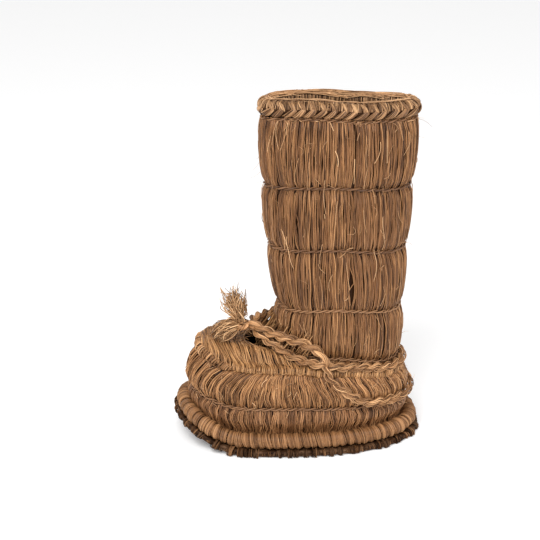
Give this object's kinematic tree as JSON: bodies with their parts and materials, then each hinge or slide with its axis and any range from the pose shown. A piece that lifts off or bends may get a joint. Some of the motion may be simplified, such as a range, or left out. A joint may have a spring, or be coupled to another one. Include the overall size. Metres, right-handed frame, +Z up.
{
  "type": "straw boot",
  "caption": "Tall folk boot of stitched straw bundles with a plaited sole, wrapped welt roll, flattened open shaft, rolled collar and a rope tie at the ankle.",
  "frame": {"origin": "middle of the sole's length and width, on the floor", "axes": "+X to the toe, +Y to the boot's left side, +Z up"},
  "size_m": [0.266, 0.156, 0.3813],
  "materials": {
    "plaited_sole": "rough dark plaited straw",
    "inner_straw": "pressed plaited straw",
    "wrapped_straw": "smooth straw wound across a roll",
    "stitched_straw": "combed straw bundles held by twine rows",
    "straw_rope": "two-ply twisted straw rope"
  },
  "bodies": {
    "root": {"outsole": "plaited_sole", "insole": "inner_straw", "welt_roll": "wrapped_straw", "foot_upper": "stitched_straw", "shaft": "stitched_straw", "collar_roll": "wrapped_straw", "ankle_tie": "straw_rope", "tie_knot": "straw_rope", "tie_end_left": "straw_rope", "tie_end_up": "straw_rope"}
  },
  "joints": []
}
